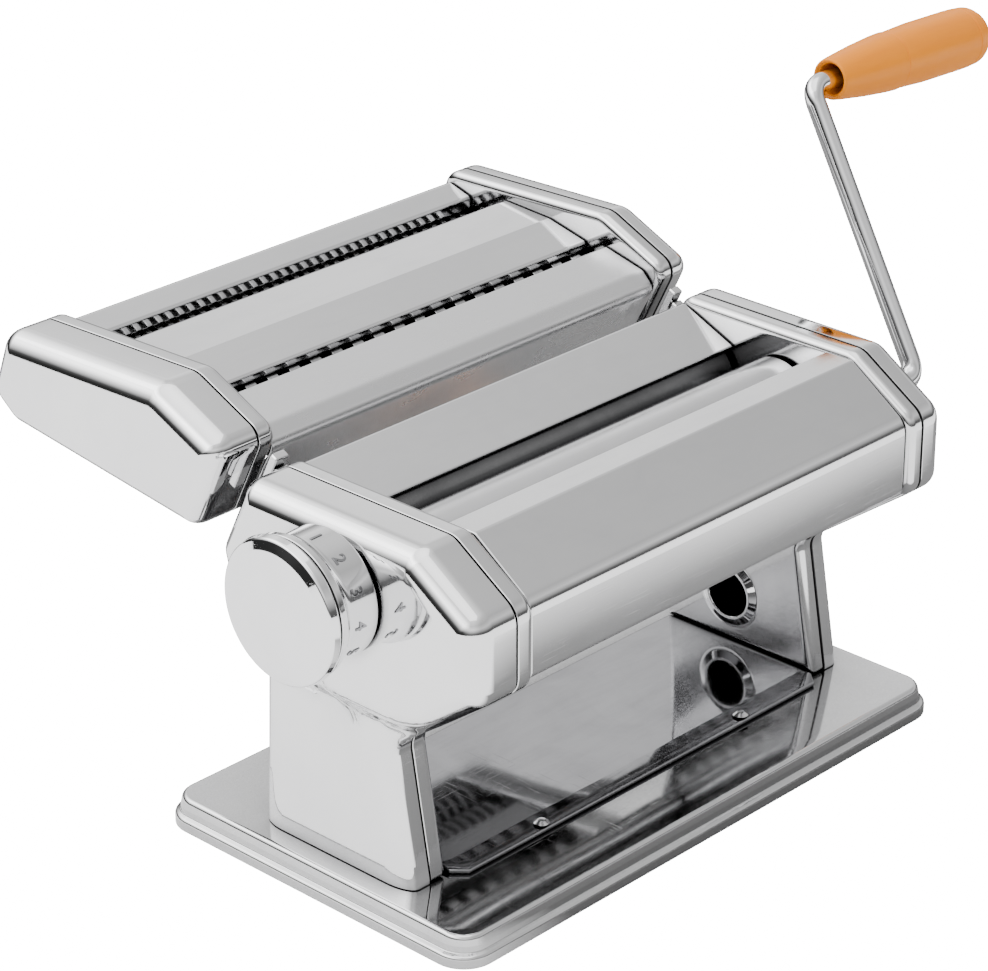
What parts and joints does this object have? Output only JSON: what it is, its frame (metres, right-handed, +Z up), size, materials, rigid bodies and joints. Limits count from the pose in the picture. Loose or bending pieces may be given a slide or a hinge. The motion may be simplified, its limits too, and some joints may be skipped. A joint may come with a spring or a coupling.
{
  "type": "pasta roller machine",
  "caption": "Hand-cranked pasta roller machine with a dial that sets the roller gap and a clip-on head that cuts narrow and wide noodles.",
  "frame": {"origin": "middle of the base's underside, where it stands on the table", "axes": "+X along the rollers towards the crank end, +Y to the cutter side, +Z up"},
  "size_m": [0.3478, 0.1821, 0.1606],
  "materials": {
    "polished_steel": "mirror polished",
    "ground_steel": "ground",
    "gear_steel": "oiled",
    "orange_plastic": "glossy",
    "white_nylon": "moulded",
    "black_rubber": "matt"
  },
  "bodies": {
    "machine_body": {"base_plate": "polished_steel", "base_liner": "black_rubber", "tie_plate": "polished_steel", "tie_rivet_left": "ground_steel", "tie_rivet_right": "ground_steel", "left_frame": "polished_steel", "right_frame": "polished_steel", "left_cover": "polished_steel", "right_cover": "polished_steel", "front_panel": "polished_steel", "hopper_plate": "polished_steel", "rear_panel": "polished_steel", "front_scraper": "ground_steel", "rear_scraper": "ground_steel", "front_tie_rod": "ground_steel", "rear_tie_rod": "ground_steel", "lower_tie_rod": "ground_steel", "rear_bush_left": "white_nylon", "rear_bush_right": "white_nylon", "guide_rail_left": "polished_steel", "guide_rail_right": "polished_steel"},
    "rear_roller_set": {"rear_roller": "ground_steel", "rear_roller_gear": "gear_steel", "rear_drive_gear": "gear_steel"},
    "front_carriage": {"front_bush_left": "white_nylon", "front_bush_right": "white_nylon"},
    "front_roller_set": {"front_roller": "ground_steel", "front_roller_gear": "gear_steel"},
    "crank_drive": {"crank_socket": "ground_steel", "crank_gear": "gear_steel"},
    "crank": {"crank_rod": "polished_steel"},
    "grip": {"crank_grip": "orange_plastic", "grip_plug": "orange_plastic"},
    "knob_shaft": {"cam_shaft": "ground_steel", "knob_spring": "ground_steel"},
    "knob": {"knob_dial": "polished_steel", "knob_cap": "polished_steel"},
    "cutter_head": {"cutter_left_frame": "polished_steel", "cutter_right_frame": "polished_steel", "cutter_left_cover": "polished_steel", "cutter_right_cover": "polished_steel", "cutter_rear_panel": "polished_steel", "cutter_centre_panel": "polished_steel", "cutter_front_panel": "polished_steel", "cutter_brace": "polished_steel", "cutter_tie_rod": "ground_steel", "cutter_hook_left": "polished_steel", "cutter_hook_right": "polished_steel"},
    "narrow_front": {"narrow_front_blades": "ground_steel", "narrow_front_gear": "gear_steel"},
    "narrow_rear": {"narrow_rear_blades": "ground_steel", "narrow_rear_gear": "gear_steel"},
    "wide_front": {"wide_front_blades": "ground_steel", "wide_front_gear": "gear_steel"},
    "wide_rear": {"wide_rear_blades": "ground_steel", "wide_rear_gear": "gear_steel"}
  },
  "joints": [
    {"name": "rear_roller_turn", "type": "hinge", "parent": "machine_body", "child": "rear_roller_set", "pos_m": [0, 0.0144, 0.0915], "axis": [1, 0, 0], "continuous": true},
    {"name": "roller_gap", "type": "slide", "parent": "machine_body", "child": "front_carriage", "axis": [0, 1, 0], "range_m": [0, 0.0022]},
    {"name": "front_roller_turn", "type": "hinge", "parent": "front_carriage", "child": "front_roller_set", "pos_m": [0, -0.014, 0.0915], "axis": [1, 0, 0], "continuous": true},
    {"name": "crank_turn", "type": "hinge", "parent": "machine_body", "child": "crank_drive", "pos_m": [0, -0.005, 0.072], "axis": [1, 0, 0], "continuous": true},
    {"name": "crank_pull", "type": "slide", "parent": "crank_drive", "child": "crank", "axis": [1, 0, 0], "range_m": [0, 0.035]},
    {"name": "grip_spin", "type": "hinge", "parent": "crank", "child": "grip", "pos_m": [0.1505, 0.03918, 0.1527], "axis": [0.9994, 0, -0.0349], "continuous": true},
    {"name": "knob_turn", "type": "hinge", "parent": "machine_body", "child": "knob_shaft", "pos_m": [-0.097, -0.0112, 0.0942], "axis": [1, 0, 0], "range_deg": [0, 270]},
    {"name": "knob_pull", "type": "slide", "parent": "knob_shaft", "child": "knob", "axis": [-1, 0, 0], "range_m": [0, 0.006], "stiffness_N_per_m": 600, "springref_m": -0.003},
    {"name": "cutter_lift", "type": "slide", "parent": "machine_body", "child": "cutter_head", "axis": [0, -0.4388, 0.8986], "range_m": [0, 0.045]},
    {"name": "narrow_front_turn", "type": "hinge", "parent": "cutter_head", "child": "narrow_front", "pos_m": [0, 0.09405, 0.109], "axis": [1, 0, 0], "continuous": true},
    {"name": "narrow_rear_turn", "type": "hinge", "parent": "cutter_head", "child": "narrow_rear", "pos_m": [0, 0.10795, 0.109], "axis": [1, 0, 0], "continuous": true},
    {"name": "wide_front_turn", "type": "hinge", "parent": "cutter_head", "child": "wide_front", "pos_m": [0, 0.04905, 0.109], "axis": [1, 0, 0], "continuous": true},
    {"name": "wide_rear_turn", "type": "hinge", "parent": "cutter_head", "child": "wide_rear", "pos_m": [0, 0.06295, 0.109], "axis": [1, 0, 0], "continuous": true}
  ],
  "couplings": [
    {"joint": "front_roller_turn", "follows": "rear_roller_turn", "ratio": -1},
    {"joint": "crank_turn", "follows": "rear_roller_turn", "ratio": -0.92857},
    {"joint": "knob_turn", "follows": "roller_gap", "rad_per_m": 2142},
    {"joint": "narrow_rear_turn", "follows": "narrow_front_turn", "ratio": -1},
    {"joint": "wide_rear_turn", "follows": "wide_front_turn", "ratio": -1}
  ]
}
